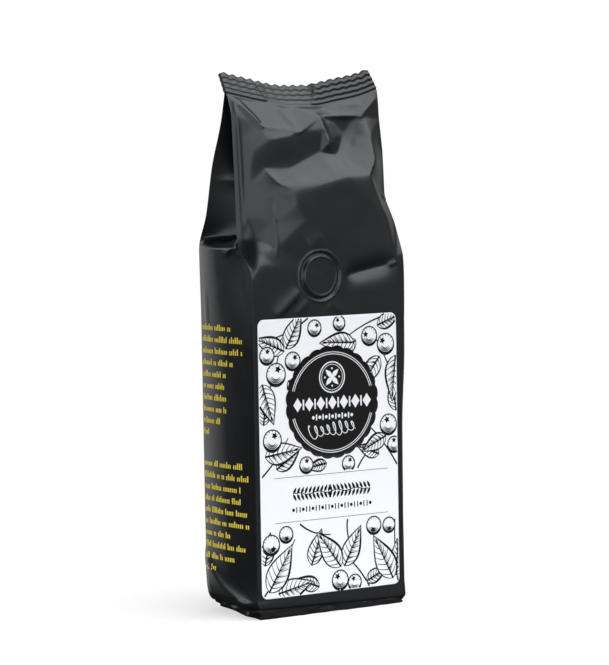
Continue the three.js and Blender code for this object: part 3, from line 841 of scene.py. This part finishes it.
def badgeStrokes():
    # a broken double ring, an emblem ring with a plain leaf cross, a row of lozenges, beads and a flourish
    strokes = []
    for radius in badge["rings"]:
        for start in (badge["ringGap"], 180 + badge["ringGap"]):
            stop = start + 180 - 2 * badge["ringGap"]
            strokes.append((roundPath(badge["x"], badge["z"], radius, start, stop, 60), badge["ringHalf"]))
    emblem = badge["emblem"]
    x, z = badge["x"], badge["z"] + emblem["rise"]
    for radius, half in emblem["rings"]:
        strokes.append((roundPath(x, z, radius, 0, 360, 40), half))
    reach, dot = emblem["dot"]
    for quarter in range(4):
        strokes.append(leaflet(x, z, 45 + 90 * quarter, *emblem["leaf"]))
        angle = quarter * np.pi / 2
        strokes.append(disc(x + reach * np.cos(angle), z + reach * np.sin(angle), dot))
    row = badge["lozenges"]
    z = badge["z"] + row["rise"]
    for step in range(-3, 4):
        strokes.append(lozenge(x + row["pitch"] * step, z, *row["size"]))
    for step in (-2.5, -1.5, -0.5, 0.5, 1.5, 2.5):
        strokes.append(bar(x + row["pitch"] * step, z, *row["bar"]))
    row = badge["beads"]
    z = badge["z"] + row["rise"]
    for step in range(-6, 7):
        place = x + row["pitch"] * step
        strokes.append(bar(place, z, *row["bar"]) if step % 2 else disc(place, z, row["bead"]))
    scroll = badge["scroll"]
    t = np.linspace(0, 1, 150)
    loop = 2 * np.pi * scroll["loops"] * t
    swell = 1.9 + 1.3 * np.cos(5 * t)**2
    across = x - scroll["reach"] + 2 * scroll["reach"] * t - scroll["swing"] * np.sin(loop)
    up = badge["z"] + scroll["rise"] + swell * np.sin(loop + 1) + scroll["climb"] * t
    strokes.append((np.stack([across, up], -1), 0.13 + 0.13 * np.abs(np.cos(loop / 2))))
    return strokes


badgeInk = inkMesh("badgeOrnament", badgeStrokes(), onFront, layers["badgeInk"])


def bandStrokes():
    # two hairlines, a leafy garland between them and a row of small beads below it
    x, garland, beads = nameBand["x"], nameBand["garland"], nameBand["beads"]
    t = np.linspace(-1, 1, 60)
    strokes = [(np.stack([x + nameBand["ruleReach"] * t, np.full(60, z)], -1), 0.1)
               for z in nameBand["rules"]]
    twig = np.stack([x + garland["reach"] * t, garland["z"] + 0.5 * np.sin(12 * t)], -1)
    strokes.append((twig, 0.2))
    for step in range(-10, 11):
        for side in (-garland["heading"], garland["heading"]):
            heading = side if step < 0 else 180 - side
            strokes.append(leaflet(x + garland["pitch"] * step, garland["z"], heading, *garland["leaf"]))
    for step in range(-12, 13):
        place = x + beads["pitch"] * step
        strokes.append(bar(place, beads["z"], *beads["bar"]) if step % 3
                       else disc(place, beads["z"], beads["bead"]))
    return strokes


bandInk = inkMesh("bandOrnament", bandStrokes(), onFront, layers["ink"])
print("badge and band made")

# side print: two blocks of rows, each row a chain of short upright bars grouped like words
sidePrint = dict(blocks=(127.8, 67.0), pitch=5.2, barPitch=1.32, barWidth=0.74, low=1.8, tall=2.75,
                 tallShare=0.28, back=16.5, seed=7)
rowEnds = ((-7.4, -15.9, -16.3, -9, -4.3, -2, -4.3, -4.3, 1.1, 11),
           (-14.8, -18, -13, -13.6, -18, -18, -5, -16.7, -7.4, 8))


def makeSidePrint():
    # bars from the left, as each side is looked at, to their row's end, with a gap after every few
    strokes = {-1: [], 1: []}
    draw = np.random.default_rng(sidePrint["seed"])
    for side in (-1, 1):
        for blockTop, ends in zip(sidePrint["blocks"], rowEnds):
            for row, end in enumerate(ends):
                z = blockTop - row * sidePrint["pitch"]
                y, left = sidePrint["back"], int(draw.integers(2, 9))
                while y > end:
                    if left:
                        isTall = draw.random() < sidePrint["tallShare"]
                        high = sidePrint["tall"] if isTall else sidePrint["low"]
                        middle = z + (high - sidePrint["low"]) / 2
                        strokes[side].append(bar(-side * y, middle, sidePrint["barWidth"], high))
                        left -= 1
                    else:
                        left = int(draw.integers(2, 10))
                    y -= sidePrint["barPitch"]
    return [inkMesh(name, strokes[side], partial(onSide, side), layers["sideInk"])
            for side, name in ((-1, "sidePrintLeft"), (1, "sidePrintRight"))]


sidePrints = makeSidePrint()
print("side print made")


def fillSockets(tree, node, sockets):
    # each socket takes a value, or a link when given another node's output
    for key, value in sockets.items():
        if isinstance(value, bpy.types.NodeSocket):
            tree.links.new(value, node.inputs[key])
        else:
            node.inputs[key].default_value = value


def addNode(tree, kind, output, sockets, **settings):
    # one output of a new shader node, whose settings come before its sockets
    node = tree.nodes.new("ShaderNode" + kind)
    for key, value in settings.items():
        setattr(node, key, value)
    fillSockets(tree, node, sockets)
    return node.outputs[output]


def eased(tree, value, over, result):
    # a value's smooth step over a span, from one result to the other
    spans = dict(zip(("From Min", "From Max", "To Min", "To Max"), (*over, *result)))
    return addNode(tree, "MapRange", "Result", {"Value": value, **spans}, interpolation_type="SMOOTHSTEP")


def newMaterial(name, color, roughness, grain=None, **sockets):
    # a finish of one colour, or one whose noise varies it: size in mm, spread of roughness, tone, bump
    material = bpy.data.materials.new(name)
    material.use_nodes = True
    tree = material.node_tree
    shader = tree.nodes["Principled BSDF"]
    fillSockets(tree, shader, {"Base Color": (*color, 1), "Roughness": roughness, **sockets})
    if grain:
        spread = grain["spread"]
        darker, lighter = (np.minimum(1, np.array(color) * (1 + tone))
                           for tone in (-grain["tone"], grain["tone"]))
        noise = addNode(tree, "TexNoise", "Fac", {
            "Vector": addNode(tree, "TexCoord", "Object", {}),
            "Scale": 1 / (grain["size"] * mm), "Detail": grain["detail"]})
        fillSockets(tree, shader, {
            "Roughness": addNode(tree, "MapRange", "Result", {
                "Value": noise, "To Min": roughness - spread, "To Max": roughness + spread}),
            "Base Color": addNode(tree, "Mix", "Result", {
                "Factor": noise, "A": (*darker, 1), "B": (*lighter, 1)}, data_type="RGBA"),
            "Normal": addNode(tree, "Bump", "Normal", {
                "Height": noise, "Strength": grain["bump"], "Distance": 0.05 * mm})})
    return material


filmFinish = newMaterial(
    "satinFilm", (0.0045, 0.0053, 0.0062), 0.3, dict(size=9, detail=5, spread=0.05, tone=0.3, bump=0.6),
    **{"Specular IOR Level": 0.78, "Specular Tint": (0.9, 0.97, 1, 1)})
paperFinish = newMaterial(
    "coatedPaper", (0.87, 0.89, 0.93), 0.45, dict(size=1.2, detail=6, spread=0.06, tone=0.02, bump=0.2))
inkFinish = newMaterial(
    "blackInk", (0.006, 0.006, 0.0065), 0.5, dict(size=0.8, detail=4, spread=0.1, tone=0.4, bump=0.1),
    **{"Specular IOR Level": 0.25})
whiteInkFinish = newMaterial(
    "whiteInk", (0.8, 0.82, 0.86), 0.5, dict(size=0.8, detail=4, spread=0.06, tone=0.05, bump=0.1))
yellowInkFinish = newMaterial(
    "yellowInk", (0.92, 0.72, 0.05), 0.5, dict(size=0.7, detail=4, spread=0.08, tone=0.08, bump=0.1))
film.data.materials.append(filmFinish)
paper.data.materials.append(paperFinish)
for piece in (pattern, badgePlate, bandInk):
    piece.data.materials.append(inkFinish)
badgeInk.data.materials.append(whiteInkFinish)
for piece in sidePrints:
    piece.data.materials.append(yellowInkFinish)

floorLook = dict(color=(0.85, 0.85, 0.85), roughness=0.8, glow=0.56, radius=2, fade=(0.2, 0.55))


def makeFloor():
    # a flat disc that fades out towards its rim, so that it has no horizon
    finish = newMaterial("paleFloor", floorLook["color"], floorLook["roughness"],
                         **{"Emission Color": (1, 1, 1, 1), "Emission Strength": floorLook["glow"]})
    tree = finish.node_tree
    place = addNode(tree, "TexCoord", "Object", {})
    distance = addNode(tree, "VectorMath", "Value", {0: place}, operation="LENGTH")
    fillSockets(tree, tree.nodes["Principled BSDF"], {
        "Alpha": eased(tree, distance, floorLook["fade"], (1, 0))})
    bpy.ops.mesh.primitive_circle_add(radius=floorLook["radius"], vertices=96, fill_type="NGON")
    floor = bpy.context.active_object
    floor.name = "floor"
    floor.data.materials.append(finish)
    floor.visible_glossy = False


makeFloor()

# soft lights: place and aim in metres, width and height in metres, power in watts
softLights = dict(
    frontBox=dict(place=(-0.5, -1.65, 0.45), aim=(0, 0, 0.15), size=(1.9, 1.3), power=8),
    backBox=dict(place=(-1.35, 1.3, 0.7), aim=(0, 0, 0.1), size=(1.2, 0.7), power=5),
    topBox=dict(place=(0.55, -0.5, 1.25), aim=(0.1, 0, 0.2), size=(1.7, 1.9), power=21),
    leftBox=dict(place=(-1.5, -0.55, 0.35), aim=(0, 0, 0.18), size=(0.5, 0.9), power=2.5),
)
# the studio by direction: white behind the bag, dim elsewhere, a little brighter in front and on the right;
# each lobe's light is eased over the cosine of the angle to its axis
studio = dict(
    behind=dict(ahead=(0, 1, 0), over=(0.84, 0.99), light=(0.05, 1)),
    front=dict(ahead=(0, -1, 0), over=(0.1, 0.9), light=(0, 0.15)),
    right=dict(ahead=(0.85, -0.53, 0), over=(0.88, 1), light=(0, 0.1)),
    rightBehind=dict(ahead=(0.9, 0.44, 0), over=(0.84, 1), light=(0, 0.28)),
    horizon=dict(ahead=(0, 0, 1), over=(-0.35, -0.12), light=(0.1, 1)),
)


def makeLights():
    # four soft boxes, and a sky of lobes that the camera itself sees as white
    for name, light in softLights.items():
        lamp = bpy.data.lights.new(name, "AREA")
        lamp.shape = "RECTANGLE"
        lamp.size, lamp.size_y = light["size"]
        lamp.energy = light["power"]
        lampObject = bpy.data.objects.new(name, lamp)
        lampObject.location = light["place"]
        away = Vector(light["place"]) - Vector(light["aim"])
        lampObject.rotation_mode = "QUATERNION"
        lampObject.rotation_quaternion = away.to_track_quat("Z", "Y")
        bpy.context.scene.collection.objects.link(lampObject)
    world = bpy.data.worlds.new("studio")
    world.use_nodes = True
    tree = world.node_tree
    place = addNode(tree, "TexCoord", "Generated", {})
    shares = {}
    for name, part in studio.items():
        along = addNode(tree, "VectorMath", "Value", {0: place, 1: part["ahead"]}, operation="DOT_PRODUCT")
        shares[name] = eased(tree, along, part["over"], part["light"])
    light = shares["behind"]
    for kind, other in (("MULTIPLY", shares["horizon"]), ("ADD", shares["front"]), ("ADD", shares["right"]),
                        ("ADD", shares["rightBehind"]),
                        ("MAXIMUM", addNode(tree, "LightPath", "Is Camera Ray", {}))):
        light = addNode(tree, "Math", "Value", {0: light, 1: other}, operation=kind)
    fillSockets(tree, tree.nodes["Background"], {"Strength": light, "Color": (1, 1, 1, 1)})
    bpy.context.scene.world = world


makeLights()
bpy.context.scene.view_settings.view_transform = "Standard"
print("lights made")
